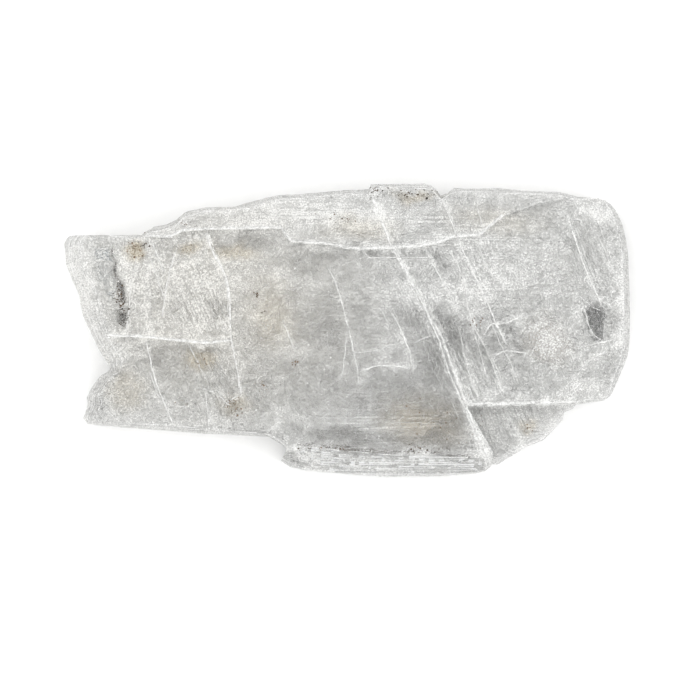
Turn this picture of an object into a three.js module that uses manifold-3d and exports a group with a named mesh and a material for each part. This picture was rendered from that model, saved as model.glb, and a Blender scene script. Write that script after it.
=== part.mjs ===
// A loose blade of clear selenite, the glassy variety of gypsum, lying on its broad cleavage face.
// It is one crystal: a stack of cleavage sheets that never came apart, so it is built as one solid.
// Millimetres, +Z up. X runs along the blade, Y across it, and the origin is under its middle.
import * as THREE from "three";
import { mergeVertices } from "three/addons/utils/BufferGeometryUtils.js";
import Module from "manifold-3d";

// Heights of the main levels above the surface that the blade lies on.
const TERRACE_TOP = 5.6; // the low shelf at the right foot, and the last sheet of the lower stack
const BODY_TOP = 10.8; // the broad upper face
const RIDGE_RISE = 1.1; // the long raised sheet along the far edge
const LEFT_PLATE_RISE = 0.45; // the thin plate over the left end
const APRON_RISE = 0.2; // the thinnest flake, below the middle of the ridge

// How the stack is divided.
const LOWER_SHEETS = 6;
const UPPER_SHEETS = 6;
const RIDGE_SHEETS = 2;
const SHEET_UNEVENNESS = 0.55; // share by which one sheet may be thicker or thinner than the mean
const CHIP = 0.45; // spread of the corners of neighbouring sheets, in and out
const CHIP_OUT = 0.35; // share of that spread that lies outside the outline
const SHEET_ROOT = 0.6; // depth that a sheet left on top reaches down, past the flakes lost beside it
const OBLIQUE = 0.43; // run along X for each millimetre across, on the oblique cleavage
const SHEET_OVERLAP = 0.03; // sheets run into each other by this, so that they join as one solid
const CORNER_STEPS = 7; // steps in a rounded corner
const REACH = 70; // past either end of the blade
const PAST_SIDE = 34; // past its near and far edges
const CHIP_SEED = 20;

// The outline, clockwise from the far left, in stretches that slope alike. Each stretch is widest at
// one height, and steps inwards by top on the way up to the broad face and by foot on the way down.
// A point is [x, y], with the share of that slope it takes if not all, and a radius if its corner is round.
const STRETCHES = {
  leftEnd: {
    inward: [1, 0], wide: 6.6, top: 4.0, foot: 6.5,
    points: [
      [-48.6, -6.0], [-49.4, -4.8], [-51.2, -1.6], [-53.2, 3.0], [-54.0, 7.0], [-55.4, 9.8],
      [-56.6, 13.0], [-57.2, 17.4, 1, 0.7], [-56.4, 18.9, 1, 0.7], [-52.8, 19.0],
    ],
  },
  ridge: {
    inward: [0, -1], wide: 5.0, top: 1.0, foot: 1.8,
    points: [
      [-41.2, 19.4], [-39.8, 20.2], [-38.6, 20.8], [-36.0, 21.2], [-34.2, 22.0], [-33.2, 22.8],
      [-32.2, 23.8, 1, 0.8], [-28.2, 24.8], [-22.8, 25.0], [-19.2, 25.6], [-14.0, 27.2, 1, 2.0],
      [-9.2, 27.4], [-3.2, 28.0], [-0.2, 28.4], [4.6, 28.4], [5.0, 29.4], [7.8, 29.6],
      [15.8, 29.4], [17.4, 29.0, 1, 0.5], [19.0, 27.0], [20.4, 27.8], [21.8, 28.6],
      [23.8, 28.6], [30.8, 28.4], [36.8, 28.2], [42.8, 27.8], [46.6, 26.9],
    ],
  },
  rightEnd: {
    inward: [-1, 0], wide: 4.4, top: 1.7, foot: 1.4,
    points: [
      [51.0, 26.4, 0.4], [55.6, 25.4, 1, 8.5], [56.9, 15.0], [57.1, 6.0], [57.2, -2.0],
      [57.0, -5.4, 1, 2.0], [54.8, -10.2, 1, 1.2], [53.5, -13.2, 0.8, 0.8],
    ],
  },
  blockFoot: {
    inward: [-0.1, 1], wide: 4.0, top: 0.7, foot: 0.6,
    points: [[52.0, -14.3], [46.2, -15.2]],
  },
  // Upper stack only: under the right block's edge, then down the great oblique crack to the front face.
  crackSide: {
    inward: [0, 1], wide: 4.0, top: 0.5, foot: 0.3,
    points: [[24.2, -15.7]],
  },
  // Lower stack only: the broken shelf that stands out below the right block.
  shelf: {
    inward: [-0.4, 1], wide: 3.8, top: 0.6, foot: 1.6,
    points: [
      [45.6, -15.9], [44.0, -16.6], [43.4, -18.2], [39.8, -22.0, 1, 1.0], [36.0, -23.4],
      [35.0, -24.6], [30.2, -27.4],
    ],
  },
  // The striated prism face along the front.
  frontFace: {
    inward: [0.12, 1], wide: 1.9, top: 5.2, foot: 0.9,
    points: [
      [29.2, -27.4, 0.5], [28.0, -28.6, 0.6], [26.0, -29.1, 0.68], [18.8, -29.6, 0.84],
      [8.8, -29.6, 0.95], [-1.2, -29.2], [-8.2, -28.5],
    ],
  },
  frontTip: {
    inward: [0.6, 1], wide: 1.9, top: 5.2, foot: 0.9,
    points: [[-11.4, -27.7, 0.8], [-13.2, -26.4, 0.52], [-11.8, -23.5, 0]],
  },
  leftFoot: {
    inward: [0, 1], wide: 3.4, top: 1.0, foot: 0.9,
    points: [[-14.0, -22.5], [-15.8, -21.6], [-29.2, -20.8], [-43.2, -19.8]],
  },
  leftToe: {
    inward: [1, 0.1], wide: 3.2, top: 3.2, foot: 0.9,
    points: [
      [-52.2, -19.0], [-53.2, -17.8], [-52.6, -16.2], [-52.0, -14.8], [-52.2, -13.4],
      [-51.0, -11.0], [-49.6, -9.2], [-48.4, -8.6],
    ],
  },
};
const FAR_SIDE = ["leftEnd", "ridge", "rightEnd", "blockFoot"];
const NEAR_SIDE = ["frontFace", "frontTip", "leftFoot", "leftToe"];
const LOWER_ROUTE = [...FAR_SIDE, "shelf", ...NEAR_SIDE];
const UPPER_ROUTE = [...FAR_SIDE, "crackSide", ...NEAR_SIDE];

// The near edges of the sheets that are left on the broad face. Each runs on past the blade's own edge.
const RIDGE_EDGE = [
  [-39.8, 18.6], [-34.8, 18.4], [-32.8, 19.6], [-27.8, 20.0], [-13.0, 20.2], [-12.2, 18.8],
  [-10.8, 17.4], [-3.2, 17.0], [-0.2, 16.2], [3.2, 16.0], [13.8, 16.4], [18.8, 17.4],
  [21.2, 18.4], [26.8, 18.8], [28.4, 20.2], [31.6, 22.8], [38.0, 25.2], [47.0, 27.0], [48.0, REACH],
  [-39.8, REACH],
];
const LEFT_PLATE_EDGE = [
  [-27.8, 20.6], [-26.4, 16.4], [-24.8, 13.0], [-23.4, 9.4], [-23.0, 6.0], [-23.0, 1.6], [-22.8, -2.2],
  [-28.2, -2.8], [-36.2, -2.0], [-39.2, -1.6], [-48.6, -1.2], [-REACH, -1.2], [-REACH, 20.6],
];
const APRON_EDGE = [[2.6, 17.4], [4.4, 14.4], [17.4, 14.4], [18.6, 18.6], [3.0, 18.6]];

// Flakes that are missing from the broad face, and from the face that the blade lies on.
const oblique = (crossing, y) => [crossing - OBLIQUE * y, y];
const rightOf = (crossing) => [
  oblique(crossing, PAST_SIDE), [REACH, PAST_SIDE], [REACH, -PAST_SIDE], oblique(crossing, -PAST_SIDE),
];
const LOST_FROM_TOP = [
  { depth: 0.3, edge: [ // left of the middle, under the left plate
    [-REACH, -1.3], [-39.2, -1.7], [-28.2, -2.9], [-22.8, -2.5], [-21.8, -8.0], [-20.8, -13.0],
    [-23.6, -14.8], [-25.6, -12.6], [-28.2, -11.8], [-27.4, -20.0], [-27.0, -REACH], [-REACH, -REACH],
  ] },
  { depth: 0.16, edge: [ // everything right of the great oblique crack, up to the ridge
    [8.6, 18.0], [10.8, 14.2], [14.4, 6.0], [17.4, -0.4], [20.8, -8.6], [23.4, -15.4],
    [28.6, -27.0], [30.0, -REACH], [REACH, -REACH], [REACH, REACH], [32.6, REACH], [31.6, 18.0],
  ] },
  { depth: 0.45, edge: [[44.6, 22.2], [50.4, 21.6], [52.2, 16.0], [53.0, 6.6], [50.4, 6.8]] },
  { depth: 0.4, edge: [[47.0, 6.4], [49.4, 4.4], [51.9, 3.4], [51.3, -2.2], [49.7, -1.0], [48.7, 0.8]] },
];
const LOST_FROM_FOOT = [
  { depth: 0.7, edge: rightOf(38) },
  { depth: 1.1, edge: rightOf(49) },
  { depth: 0.5, edge: [
    [-REACH, PAST_SIDE], oblique(-36, PAST_SIDE), oblique(-36, -2), oblique(-41, -2),
    oblique(-41, -PAST_SIDE), [-REACH, -PAST_SIDE],
  ] },
  { depth: 0.35, edge: [
    oblique(-14, -9.5), oblique(10, -9.5), oblique(10, -PAST_SIDE), oblique(-14, -PAST_SIDE),
  ] },
];

const wasm = await Module();
wasm.setup();

// Numbers from 0 to 1 that are the same on every run.
function chipNumbers(seed) {
  let state = seed;
  return () => {
    state = (state * 1664525 + 1013904223) % 4294967296;
    return state / 4294967296;
  };
}
const chip = chipNumbers(CHIP_SEED);

// A closed outline from [x, y] points, with [x, y, _, radius] corners rounded.
function shapeOf(points) {
  const shape = new THREE.Shape();
  const at = (i) => new THREE.Vector2(...points[(i + points.length) % points.length].slice(0, 2));
  points.forEach((point, i) => {
    const corner = at(i);
    const radius = point[3] ?? 0;
    const towards = (other) => corner.clone().add(other.sub(corner).clampLength(0, radius));
    const [first, last] = [towards(at(i - 1)), towards(at(i + 1))];
    if (i === 0) shape.moveTo(first.x, first.y);
    else shape.lineTo(first.x, first.y);
    if (radius > 0) shape.quadraticCurveTo(corner.x, corner.y, last.x, last.y);
  });
  return shape;
}

// A closed three.js geometry as a solid that can be joined and cut.
function solidOf(geometry) {
  geometry.deleteAttribute("normal");
  geometry.deleteAttribute("uv");
  const merged = mergeVertices(geometry, 1e-4);
  return new wasm.Manifold(
    new wasm.Mesh({
      numProp: 3,
      vertProperties: merged.attributes.position.array,
      triVerts: new Uint32Array(merged.index.array),
    }),
  );
}

// An outline as a flat sheet between two heights.
function sheet(points, low, high) {
  const geometry = new THREE.ExtrudeGeometry(shapeOf(points), {
    depth: high - low,
    bevelEnabled: false,
    curveSegments: CORNER_STEPS,
  });
  return solidOf(geometry.translate(0, 0, low));
}

// The blade's outline at one height, with each corner chipped a little.
function outlineAt(route, height) {
  return route.flatMap((name) => {
    const { inward, wide, top, foot, points } = STRETCHES[name];
    const rising = (top * (height - wide)) / (BODY_TOP - wide);
    const falling = (foot * (wide - height)) / wide;
    return points.map(([x, y, share = 1, radius = 0]) => {
      const step = Math.max(rising, falling) * share + CHIP * (chip() - CHIP_OUT);
      return [x + inward[0] * step, y + inward[1] * step, share, radius];
    });
  });
}

// Heights that divide a stack into sheets of uneven thickness.
function levels(low, high, count) {
  const widths = Array.from({ length: count }, () => 1 + SHEET_UNEVENNESS * (2 * chip() - 1));
  const scale = (high - low) / widths.reduce((sum, width) => sum + width, 0);
  const heights = [low];
  for (const width of widths) heights.push(heights.at(-1) + width * scale);
  return heights;
}

// The sheets of one stack, each with its own chipped outline.
function stack(route, low, high, count) {
  const heights = levels(low, high, count);
  return heights.slice(1).map((height, i) => {
    const middle = (heights[i] + height) / 2;
    return sheet(outlineAt(route, middle), heights[i] - (i > 0 ? SHEET_OVERLAP : 0), height);
  });
}

// A sheet left on the broad face, cut off at the blade's own edge.
function leftOn(edge, low, high) {
  const rim = sheet(outlineAt(UPPER_ROUTE, BODY_TOP), low - SHEET_ROOT, high);
  return rim.intersect(sheet(edge, low - 2 * SHEET_ROOT, high + SHEET_ROOT));
}

function ridgeSheets() {
  const heights = levels(BODY_TOP, BODY_TOP + RIDGE_RISE, RIDGE_SHEETS);
  return heights.slice(1).map((height, i) => leftOn(RIDGE_EDGE, heights[i], height));
}

function crystal() {
  const sheets = [
    ...stack(LOWER_ROUTE, 0, TERRACE_TOP, LOWER_SHEETS),
    ...stack(UPPER_ROUTE, TERRACE_TOP - SHEET_OVERLAP, BODY_TOP, UPPER_SHEETS),
  ];
  let solid = sheets.reduce((whole, next) => whole.add(next));
  for (const { depth, edge } of LOST_FROM_TOP) {
    solid = solid.subtract(sheet(edge, BODY_TOP - depth, BODY_TOP + depth));
  }
  const leftSheets = [
    ...ridgeSheets(),
    leftOn(LEFT_PLATE_EDGE, BODY_TOP, BODY_TOP + LEFT_PLATE_RISE),
    leftOn(APRON_EDGE, BODY_TOP, BODY_TOP + APRON_RISE),
  ];
  solid = leftSheets.reduce((whole, next) => whole.add(next), solid);
  for (const { depth, edge } of LOST_FROM_FOOT) solid = solid.subtract(sheet(edge, -depth, depth));
  return solid;
}

function geometryOf(solid) {
  const mesh = solid.getMesh();
  const geometry = new THREE.BufferGeometry();
  geometry.setAttribute("position", new THREE.BufferAttribute(mesh.vertProperties, 3));
  geometry.setIndex(new THREE.BufferAttribute(mesh.triVerts, 1));
  geometry.computeVertexNormals();
  return geometry;
}

const selenite = new THREE.MeshStandardMaterial({
  color: 0xdcdcd6,
  roughness: 0.18,
  metalness: 0,
  transparent: true,
  opacity: 0.6,
});
const blade = new THREE.Mesh(geometryOf(crystal()), selenite);
blade.name = "selenite_blade";

const part = new THREE.Group();
part.add(blade);
export default part;
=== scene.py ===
import math
import random

import bmesh
import bpy
import numpy as np
from mathutils import Matrix, Vector, geometry, noise
from mathutils.bvhtree import BVHTree
from mathutils.kdtree import KDTree


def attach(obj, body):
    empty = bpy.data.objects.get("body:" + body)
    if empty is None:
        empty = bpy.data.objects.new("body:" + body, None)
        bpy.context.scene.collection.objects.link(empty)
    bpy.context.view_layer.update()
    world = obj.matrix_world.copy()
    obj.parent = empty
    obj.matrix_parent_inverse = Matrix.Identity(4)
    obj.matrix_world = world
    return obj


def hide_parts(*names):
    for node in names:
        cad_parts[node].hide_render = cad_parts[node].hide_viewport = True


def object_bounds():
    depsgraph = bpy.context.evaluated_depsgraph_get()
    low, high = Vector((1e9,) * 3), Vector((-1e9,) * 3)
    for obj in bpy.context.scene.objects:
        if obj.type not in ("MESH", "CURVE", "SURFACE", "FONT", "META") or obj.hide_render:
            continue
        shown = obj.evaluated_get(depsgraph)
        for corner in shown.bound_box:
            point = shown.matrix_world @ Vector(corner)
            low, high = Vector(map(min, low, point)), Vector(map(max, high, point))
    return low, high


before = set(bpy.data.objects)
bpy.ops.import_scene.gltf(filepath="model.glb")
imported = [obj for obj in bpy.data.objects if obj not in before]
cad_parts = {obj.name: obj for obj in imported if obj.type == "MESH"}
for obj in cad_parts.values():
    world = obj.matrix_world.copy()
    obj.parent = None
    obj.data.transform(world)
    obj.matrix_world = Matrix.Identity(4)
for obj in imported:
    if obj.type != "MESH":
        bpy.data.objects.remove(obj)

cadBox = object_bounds()
mm = 0.001
dice = random.Random(17)
noise.seed_set(17)  # noise_vector follows the clock without it
scene = bpy.context.scene
oblique = 23.3  # turn of the second cleavage from the Y axis, in degrees


# Shader maths: a wire carries one socket, and sums on wires add Math nodes

class Wire:
    def __init__(self, tree, socket=None):
        self.tree = tree
        self.socket = socket

    def node(self, kind, settings=None, values=None, out=0):
        new = self.tree.nodes.new(kind)
        for name, value in (settings or {}).items():
            if name == "stops":
                ramp = new.color_ramp.elements
                while len(ramp) < len(value):
                    ramp.new(0.5)
                for stop, (place, colour) in zip(ramp, value):
                    stop.position = place
                    stop.color = colour
            else:
                setattr(new, name, value)
        for name, value in (values or {}).items():
            if isinstance(value, Wire):
                self.tree.links.new(value.socket, new.inputs[name])
            else:
                new.inputs[name].default_value = value
        return Wire(self.tree, new.outputs[out]) if len(new.outputs) else None

    def sum(self, operation, *terms):
        return self.node("ShaderNodeMath", {"operation": operation}, dict(enumerate(terms)))

    def __add__(self, other):
        return self.sum("ADD", self, other)

    def __radd__(self, other):
        return self.sum("ADD", other, self)

    def __sub__(self, other):
        return self.sum("SUBTRACT", self, other)

    def __rsub__(self, other):
        return self.sum("SUBTRACT", other, self)

    def __mul__(self, other):
        return self.sum("MULTIPLY", self, other)

    def __rmul__(self, other):
        return self.sum("MULTIPLY", other, self)

    def __pow__(self, other):
        return self.sum("POWER", self, other)

    def most(self, other):
        return self.sum("MAXIMUM", self, other)

    def least(self, other):
        return self.sum("MINIMUM", self, other)

    def clipped(self):
        return self.least(1.0).most(0.0)

    def between(self, low, high, start=0.0, end=1.0):
        values = {"Value": self, "From Min": low, "From Max": high, "To Min": start, "To Max": end}
        return self.node("ShaderNodeMapRange", {"interpolation_type": "SMOOTHSTEP"}, values)


def newMaterial(name):
    material = bpy.data.materials.new(name)
    material.use_nodes = True
    material.node_tree.nodes.clear()
    return material, Wire(material.node_tree)


def place(wire, turn=0.0, size=(1, 1, 1), centre=(0, 0, 0)):
    here = wire.node("ShaderNodeTexCoord", out="Object")
    values = {"Vector": here, "Location": centre, "Rotation": (0, 0, math.radians(turn)), "Scale": size}
    return wire.node("ShaderNodeMapping", {"vector_type": "TEXTURE"}, values)


def speckle(wire, vector, scale, detail=3.0, rough=0.55):
    values = {"Vector": vector, "Scale": scale, "Detail": detail, "Roughness": rough}
    return wire.node("ShaderNodeTexNoise", {}, values)


def mixColour(wire, share, first, second):
    values = {"Factor": share, 6: first, 7: second}
    return wire.node("ShaderNodeMix", {"data_type": "RGBA"}, values, out=2)


def finishPiece(bm, name, material):
    bmesh.ops.recalc_face_normals(bm, faces=bm.faces)
    mesh = bpy.data.meshes.new(name)
    bm.to_mesh(mesh)
    bm.free()
    piece = bpy.data.objects.new(name, mesh)
    mesh.materials.append(material)
    scene.collection.objects.link(piece)
    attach(piece, "root")
    print(f"{name}: {len(mesh.polygons)} faces")
    return piece


def joinInto(whole, part):
    mesh = bpy.data.meshes.new("part")
    part.to_mesh(mesh)
    part.free()
    whole.from_mesh(mesh)
    bpy.data.meshes.remove(mesh)


class Lots:
    # small shapes are made a lot at a time, and a full lot joins the whole
    fullLot = 600  # vertices

    def __init__(self, layer):
        self.layer = layer
        self.whole = self.fresh()
        self.lot = self.fresh()

    def fresh(self):
        bm = bmesh.new()
        bm.verts.layers.float.new(self.layer)
        return bm

    def next(self):
        if len(self.lot.verts) > self.fullLot:
            self.close()
        return self.lot

    def close(self):
        joinInto(self.whole, self.lot)
        self.lot = self.fresh()
        return self.whole


# Camera, floor and studio light

studio = {
    "cameraAt": (0.0008, -0.0040),  # middle of the picture on the blade
    "cameraHeight": 1.01,
    "viewWidth": 0.140,  # width of the picture at the blade's upper face
    "upperFace": 0.010,
    "sensorWidth": 36,
    "floorRadius": 4.0,
    "floorDrop": 0.00005,
    "floorColour": (0.93, 0.93, 0.925, 1),
    "floorShade": (0.916, 0.916, 0.911, 1),
    "floorGrain": 60,
    "worldColour": (1.0, 1.0, 1.0, 1),
    "worldStrength": 1.05,
    # name: place, width, power
    "lights": {
        "keyLight": ((-0.55, 0.45, 0.75), 0.6, 3.2),
        "fillLight": ((0.7, -0.2, 0.7), 0.7, 2.6),
        "frontLight": ((-0.1, -0.8, 0.45), 0.6, 2.2),
    },
}


def setUpStudio():
    s = studio
    camera = bpy.data.objects.new("camera", bpy.data.cameras.new("camera"))
    camera.location = (*s["cameraAt"], s["cameraHeight"])
    camera.data.sensor_width = s["sensorWidth"]
    camera.data.lens = s["sensorWidth"] * (s["cameraHeight"] - s["upperFace"]) / s["viewWidth"]
    camera.data.clip_start = 0.01
    scene.collection.objects.link(camera)
    scene.camera = camera

    bm = bmesh.new()
    bmesh.ops.create_circle(bm, cap_ends=True, segments=64, radius=s["floorRadius"])
    mesh = bpy.data.meshes.new("floor")
    bm.to_mesh(mesh)
    bm.free()
    floor = bpy.data.objects.new("floor", mesh)
    floor.location.z = -s["floorDrop"]
    scene.collection.objects.link(floor)
    material, wire = newMaterial("pale floor")
    grain = speckle(wire, place(wire), s["floorGrain"])
    shade = mixColour(wire, grain, s["floorColour"], s["floorShade"])
    surface = wire.node("ShaderNodeBsdfPrincipled", {}, {"Base Color": shade, "Roughness": 0.8})
    wire.node("ShaderNodeOutputMaterial", {}, {"Surface": surface})
    mesh.materials.append(material)

    world = bpy.data.worlds.new("studio")
    world.use_nodes = True
    sky = world.node_tree.nodes["Background"]
    sky.inputs["Color"].default_value = s["worldColour"]
    sky.inputs["Strength"].default_value = s["worldStrength"]
    scene.world = world

    for name, (at, width, power) in s["lights"].items():
        light = bpy.data.objects.new(name, bpy.data.lights.new(name, "AREA"))
        light.data.shape = "SQUARE"
        light.data.size = width
        light.data.energy = power
        light.location = at
        light.rotation_euler = Vector(at).to_track_quat("Z", "Y").to_euler()
        scene.collection.objects.link(light)

    scene.view_settings.view_transform = "Standard"
    scene.cycles.use_denoising = True
    scene.cycles.max_bounces = 12
    scene.cycles.transmission_bounces = 10
    scene.cycles.transparent_max_bounces = 16
    print("studio set up")


# Cracks as lines seen from above, in millimetres: points, depth, lean of the lower rim in x, whiteness

cracks = {
    "step": 0.6 * mm,
    "wander": 0.16 * mm,
    "wanderSpan": (1.7 * mm, 0.8 * mm),
    "raggedSpan": 1.3 * mm,
    "strength": 1.25,  # on every line's whiteness
    "fadeSpan": 2.5 * mm,  # span of the slow changes in whiteness
    "fadeEnd": 1.5 * mm,
    "proud": 0.012 * mm,  # the bruised lip stands this far out of the face
    "lip": 0.30 * mm,  # its width at whiteness 1
    "outside": 0.03 * mm,  # a sheet is cut off this near to the lower face
    "paleWhite": (0.64, 0.64, 0.625, 1),
    "brightWhite": (0.80, 0.80, 0.79, 1),
    "breakScale": 1500,
    # rows of the sheet below the lip: sideways in lips, share of the depth, whiteness
    "rows": ((1.0, 0.0, 1.0), (0.0, 0.1, 0.3), (0.0, 0.7, 0.25), (0.0, 0.2, 0.8), (0.6, 0.0, 0.8)),
    "lines": {
        # the first four lines run along terrace edges: their white lips are painted highlights of the lit
        # step edges
        "ridgeHighlight": ([(3.2, 16.2), (-0.2, 16.4), (-3.2, 17.2), (-10.6, 17.6), (-12.0, 18.9), (-13.0, 20.4),
            (-27.8, 20.2), (-32.8, 19.8), (-34.8, 18.6), (-39.8, 18.8)], 0.3, 0.0, 1.1),
        "rightRidgeHighlight": ([(31.4, 22.9), (28.2, 20.3), (26.8, 19.0), (21.2, 18.6), (18.8, 17.6),
            (13.8, 16.6), (3.2, 16.2)], 0.3, 0.0, 1.4),
        "plateHighlight": ([(-23.0, -2.1), (-28.2, -2.7), (-36.2, -1.9), (-39.2, -1.5),
            (-48.4, -1.1)], 0.3, 0.0, 1.3),
        "blockFoot": ([(46.0, -14.5), (30.0, -14.8), (24.0, -15.0)], 0.3, 0.0, 1.6),
        "great": ([(5.4, 27.0), (7.2, 22.0), (9.4, 16.4), (13.2, 9.6), (15.6, 4.6),
            (18.2, -0.6), (20.8, -8.6), (23.8, -15.4), (26.2, -21.4), (28.4, -26.6)], 5, 0.9, 1.3),
        "greatTwin": ([(9.8, 16.6), (12.0, 12.4), (14.6, 6.8), (16.8, 2.8),
            (19.2, -1.0), (22.2, -9.2), (24.6, -16.2), (27.0, -21.8), (29.2, -26.8)], 4, 0.7, 1.6),
        "greatEdge": ([(7.6, 21.6), (10.2, 16.0), (13.8, 9.4), (16.4, 4.0), (18.8, -1.2)], 2, 0.4, 0.55),
        "second": ([(18.2, 28.6), (19.2, 26.6), (21.2, 21.4), (22.2, 18.8),
            (23.2, 16.4), (25.4, 11.8), (28.2, 6.0), (29.8, 2.0), (32.2, -2.8)], 4, 0.8, 0.85),
        "secondTwin": ([(19.0, 28.0), (20.2, 24.8), (22.0, 20.4), (22.8, 18.4)], 2, 0.4, 0.6),
        "third": ([(25.8, 27.4), (26.6, 23.6), (27.4, 20.6), (28.4, 18.4)], 2.5, 0.4, 0.6),
        "thirdLow": ([(26.2, 18.4), (27.4, 14.6), (28.8, 11.6)], 2.5, 0.4, 0.5),
        "greatBeside": ([(15.8, 16.6), (18.2, 12.0), (20.8, 7.4), (21.8, 3.4)], 2.5, 0.4, 0.55),
        "inner": ([(21.8, 15.0), (23.4, 10.6), (24.4, 5.4),
            (25.4, 0.6), (27.2, -5.4), (28.2, -9.6)], 3, 0.5, 0.6),
        "innerLow": ([(22.8, 0.0), (24.4, -8.0), (26.8, -14.0)], 2.5, 0.4, 0.55),
        "innerRight": ([(25.2, 1.6), (28.2, -4.0), (30.0, -8.4), (31.4, -11.6)], 2.5, 0.4, 0.65),
        "innerFar": ([(28.6, 2.8), (30.8, -2.4), (33.0, -6.4), (34.6, -11.0)], 2, 0.4, 0.45),
        "end": ([(44.8, 22.0), (46.2, 17.4), (47.8, 12.6), (50.2, 7.4), (51.2, 5.2)], 3, 0.4, 0.9),
        "endBeside": ([(45.6, 21.6), (47.2, 17.0), (48.8, 12.8)], 1.5, 0.2, 0.5),
        "endUpper": ([(50.2, 19.4), (52.2, 15.4), (53.2, 12.6), (53.4, 10.4)], 2, 0.3, 0.7),
        "endLow": ([(47.6, 5.2), (48.4, 2.0), (49.2, -0.6)], 2, 0.3, 0.85),
        "endFoot": ([(44.8, -4.0), (46.4, -7.6)], 2, 0.3, 0.6),
        "endArc": ([(46.4, -8.0), (49.4, -5.4), (52.8, -3.6)], 1.5, 0.3, 0.7),
        "endArcHigh": ([(47.8, -3.0), (50.8, -2.4), (54.2, -1.6)], 1.5, 0.2, 0.65),
        "endLevel": ([(44.2, -10.6), (49.4, -10.0), (54.8, -9.6)], 1.2, 0.0, 0.4),
        "endTop": ([(47.6, 24.6), (50.4, 21.2), (52.0, 20.2)], 1.5, 0.2, 0.5),
        "blockArc": ([(27.4, -0.8), (28.8, 1.2), (32.2, 1.6), (35.4, 3.0)], 1.5, 0.2, 0.75),
        "blockArcLow": ([(28.2, -5.4), (32.2, -4.0), (36.2, -4.4)], 1.5, 0.2, 0.6),
        "blockArcFoot": ([(28.6, -4.4), (30.2, -7.6), (31.6, -10.6)], 1.5, 0.2, 0.5),
        "blockCross": ([(30.2, -3.0), (33.0, -1.4), (34.8, -2.2)], 1.0, 0.1, 0.45),
        "shelf": ([(32.4, -16.4), (34.0, -20.0), (35.8, -23.2)], 2, 0.4, 0.75),
        "shelfLeft": ([(27.2, -16.0), (28.6, -20.0), (30.2, -24.6)], 2, 0.4, 0.6),
        "shelfMiddle": ([(31.8, -16.2), (33.4, -20.6)], 1.5, 0.3, 0.5),
        "frontBand": ([(-10.6, -23.4), (-8.0, -25.8), (-5.0, -28.4)], 0.5, 0.0, 1.6),
        "frontBandTwin": ([(-9.2, -23.4), (-6.4, -25.8), (-3.6, -28.2)], 0.5, 0.0, 1.0),
        "plate": ([(-27.8, 19.4), (-26.6, 16.0), (-24.8, 12.6), (-23.8, 10.6), (-23.0, 5.4),
            (-23.0, 0.6), (-22.6, -3.4), (-21.6, -8.0), (-21.0, -12.2), (-21.0, -13.0)], 3, 0.5, 1.0),
        "plateFoot": ([(-21.0, -13.0), (-22.6, -13.8), (-24.2, -14.8)], 2, 0.3, 0.9),
        "plateHook": ([(-28.2, -12.0), (-25.8, -12.0), (-24.2, -13.6)], 1, 0.2, 0.65),
        "plateBeside": ([(-24.4, 11.2), (-23.6, 8.0), (-23.4, 2.4)], 1.5, 0.2, 0.5),
        "fanRight": ([(-33.6, 17.0), (-34.8, 12.6), (-35.8, 8.6), (-36.6, 2.6)], 2.5, -0.3, 0.7),
        "fanMiddle": ([(-38.8, 18.0), (-37.6, 15.0), (-36.2, 11.4)], 2, 0.3, 0.7),
        "fanLeft": ([(-39.2, 15.0), (-37.8, 11.0), (-36.0, 5.6)], 2, 0.3, 0.6),
        "fanLow": ([(-37.8, 12.6), (-37.0, 10.0)], 1.5, 0.2, 0.6),
        "leftLow": ([(-39.8, -2.2), (-38.8, -7.0),
            (-37.8, -10.6), (-36.2, -14.6), (-34.2, -19.4)], 3, 0.5, 0.8),
        "leftLowBeside": ([(-39.2, -8.0), (-38.0, -11.6), (-36.8, -14.4)], 2, 0.3, 0.5),
        "leftFine": ([(-31.8, -2.0), (-29.6, -6.4), (-27.8, -10.0)], 1.5, 0.2, 0.4),
        "footLine": ([(-28.6, -13.4), (-27.2, -16.6)], 1.5, 0.2, 0.55),
        "footLineRight": ([(-27.6, -16.4), (-25.8, -19.8)], 1.5, 0.2, 0.55),
        "slotSide": ([(-42.8, 10.0), (-43.2, 4.0), (-43.8, -0.6)], 2, 0.3, 0.6),
        "slotSideHigh": ([(-41.6, 14.8), (-42.4, 11.6), (-42.8, 9.4)], 2, 0.3, 0.45),
        "middle": ([(-3.6, 13.0), (-2.0, 9.4), (-1.0, 6.6),
            (0.4, 1.0), (1.4, -3.0), (2.2, -7.0), (2.8, -11.0)], 2.5, 0.4, 0.7),
        "middleBranch": ([(0.4, 0.8), (0.0, -4.0), (-0.8, -10.0)], 2, -0.3, 0.55),
        "middleLeft": ([(-12.6, 2.2), (-11.4, -0.8), (-10.2, -4.0)], 2, 0.3, 0.6),
        "ridgeFine": ([(-15.6, 26.0), (-13.6, 21.8), (-11.2, 17.6)], 1.5, 0.3, 0.4),
        "middleRight": ([(6.8, 4.8), (8.8, 0.8)], 2, 0.3, 0.6),
        "middleRightLong": ([(9.4, 3.4), (11.4, -0.6), (12.8, -4.0), (13.4, -7.4)], 2.5, 0.4, 0.75),
        "middleCross": ([(0.2, -4.6), (6.2, -4.0), (10.2, -2.6)], 1, 0.1, 0.45),
        "middleCrossRight": ([(13.2, -2.6), (16.8, -1.0)], 1, 0.1, 0.5),
        "dash": ([(2.8, -8.0), (6.2, -7.0), (9.0, -7.0), (12.8, -7.4)], 0.8, 0.0, 0.8),
        "ridgeShadow": ([(2.8, 16.4), (4.8, 14.4), (10.4, 14.2), (17.2, 14.2)], 0.8, 0.0, 0.5),
        "ridgeFork": ([(26.8, 18.8), (28.8, 21.0), (31.6, 22.8)], 1.5, 0.2, 0.7),
        "ridgeForkLow": ([(24.8, 18.6), (27.6, 18.6), (28.8, 19.6)], 1.0, 0.1, 0.6),
    },
}


# Tones of the crystal: clouds, dark patches with painted shade under the step edges, tan stains, combed and
# lengthwise striations

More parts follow.
